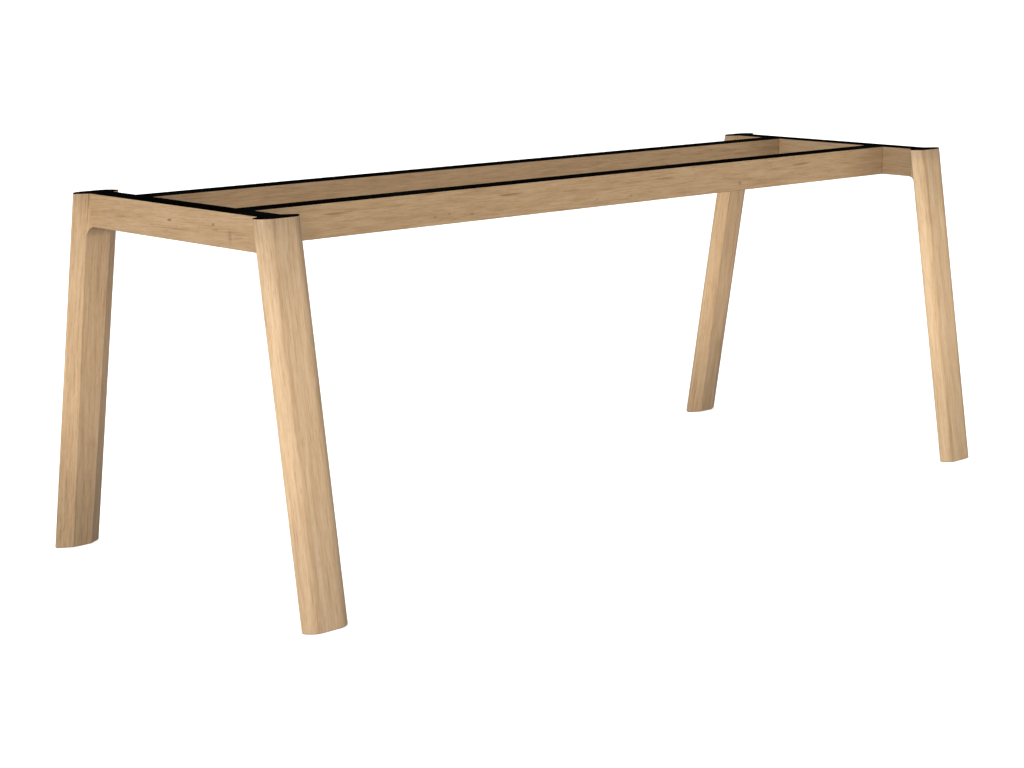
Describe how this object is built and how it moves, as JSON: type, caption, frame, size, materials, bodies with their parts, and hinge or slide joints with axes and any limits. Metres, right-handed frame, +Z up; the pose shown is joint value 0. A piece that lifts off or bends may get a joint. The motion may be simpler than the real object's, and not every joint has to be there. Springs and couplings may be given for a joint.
{
  "type": "table frame",
  "caption": "Open oak table frame: splayed legs rounded on the outside, end rails and long rails, with thin black pads on top that carry a table top.",
  "frame": {"origin": "on the floor, midway between the four feet", "axes": "+X along the length of the table, +Z up, front at -Y"},
  "size_m": [1.9988, 0.8296, 0.72],
  "materials": {
    "oak": "light oak, matt oiled, fine grain",
    "black_pad": "matt black rubber strip",
    "beech": "plain beech, compressed dowels",
    "zinc_steel": "zinc-plated steel"
  },
  "bodies": {
    "root": {"front_left_leg": "oak", "front_right_leg": "oak", "back_left_leg": "oak", "back_right_leg": "oak", "left_end_rail": "oak", "right_end_rail": "oak", "front_long_rail": "oak", "back_long_rail": "oak", "front_left_leg_pad": "black_pad", "front_right_leg_pad": "black_pad", "back_left_leg_pad": "black_pad", "back_right_leg_pad": "black_pad", "left_end_pad": "black_pad", "right_end_pad": "black_pad", "front_long_pad": "black_pad", "back_long_pad": "black_pad", "leg_tenons": "beech", "rail_dowels": "beech", "threaded_inserts": "zinc_steel", "stud_bolts": "zinc_steel", "crescent_washers": "zinc_steel", "stud_nuts": "zinc_steel"}
  },
  "joints": []
}
